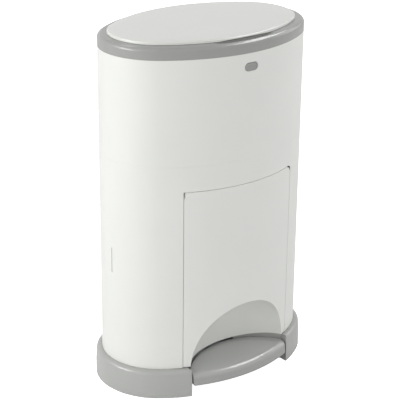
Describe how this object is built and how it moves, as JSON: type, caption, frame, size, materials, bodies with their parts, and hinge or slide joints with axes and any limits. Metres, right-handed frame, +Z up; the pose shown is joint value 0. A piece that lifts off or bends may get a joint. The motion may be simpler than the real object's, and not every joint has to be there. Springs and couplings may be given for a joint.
{
  "type": "nappy bin",
  "caption": "Oval nappy bin with a foot pedal that lifts the lid, a front door, a film cassette and a sprung shutter.",
  "frame": {"origin": "middle of the base on the floor, under the housing's centre", "axes": "+Z up, the pedal and the door face -Y, +X to the right of someone facing the bin"},
  "size_m": [0.392, 0.272, 0.603],
  "materials": {
    "white_plastic": "satin-gloss moulded ABS, pale grey-white",
    "grey_plastic": "satin moulded plastic, mid grey",
    "inner_plastic": "plain moulded plastic inside, light grey",
    "steel": "zinc-plated steel",
    "rubber": "soft dark rubber",
    "film": "thin folded plastic film"
  },
  "bodies": {
    "bin": {"base_plinth": "grey_plastic", "base_feet": "rubber", "lower_housing": "white_plastic", "upper_housing": "white_plastic", "housing_screws": "steel", "lower_rod_channel": "inner_plastic", "upper_rod_channel": "inner_plastic", "cassette_carrier": "inner_plastic", "film_cassette": "inner_plastic", "film_pack": "film", "cassette_cap": "white_plastic", "top_collar": "grey_plastic", "shutter_frame": "inner_plastic", "front_flap_pin": "steel", "rear_flap_pin": "steel", "front_flap_spring": "steel", "rear_flap_spring": "steel", "pedal_axle": "steel", "pedal_spring": "steel", "lid_hinge_pin": "steel", "lock_spring": "steel", "catch_keeper": "grey_plastic"},
    "pedal": {"pedal": "grey_plastic", "pedal_lever": "steel", "lever_screws": "steel"},
    "rod": {"push_rod": "steel", "rod_foot": "grey_plastic", "rod_yoke": "grey_plastic"},
    "lid": {"lid_panel": "white_plastic", "lid_liner": "inner_plastic", "lid_striker": "steel", "lid_seal": "rubber", "crank_pin": "steel", "lid_screws": "steel"},
    "door": {"front_door": "white_plastic", "door_pins": "steel", "door_catch": "grey_plastic", "film_cutter": "grey_plastic", "cutter_blade": "steel"},
    "front_flap": {"front_flap": "white_plastic", "front_flap_seal": "rubber"},
    "rear_flap": {"rear_flap": "white_plastic", "rear_flap_seal": "rubber"},
    "lock": {"lock_button": "grey_plastic", "lock_catch": "grey_plastic"}
  },
  "joints": [
    {"name": "pedal_pivot", "type": "hinge", "parent": "bin", "child": "pedal", "pos_m": [0, -0.03, 0.028], "axis": [1, 0, 0], "range_deg": [0, 9.75], "stiffness_Nm_per_rad": 1.5, "springref_deg": -11.46},
    {"name": "rod_slide", "type": "slide", "parent": "bin", "child": "rod", "axis": [0, 0, 1], "range_m": [0, 0.0221]},
    {"name": "lid_hinge", "type": "hinge", "parent": "bin", "child": "lid", "pos_m": [0, 0.1135, 0.594], "axis": [-1, 0, 0], "range_deg": [0, 85]},
    {"name": "door_hinge", "type": "hinge", "parent": "bin", "child": "door", "pos_m": [-0.10395, -0.09678, 0.2], "axis": [0, 0, -1], "range_deg": [0, 90]},
    {"name": "front_flap_hinge", "type": "hinge", "parent": "bin", "child": "front_flap", "pos_m": [0, -0.07, 0.56125], "axis": [-1, 0, 0], "range_deg": [0, 78], "stiffness_Nm_per_rad": 0.05, "springref_deg": -28.65},
    {"name": "rear_flap_hinge", "type": "hinge", "parent": "bin", "child": "rear_flap", "pos_m": [0, 0.07, 0.56125], "axis": [1, 0, 0], "range_deg": [0, 78], "stiffness_Nm_per_rad": 0.05, "springref_deg": -28.65},
    {"name": "lock_slide", "type": "slide", "parent": "bin", "child": "lock", "axis": [0, 1, 0], "range_m": [0, 0.003], "stiffness_N_per_m": 300, "springref_m": -0.002, "deforming": ["lock_spring"]}
  ],
  "couplings": [
    {"joint": "rod_slide", "follows": "pedal_pivot", "m_per_rad": 0.12934},
    {"joint": "lid_hinge", "follows": "pedal_pivot", "ratio": 8.7122}
  ]
}
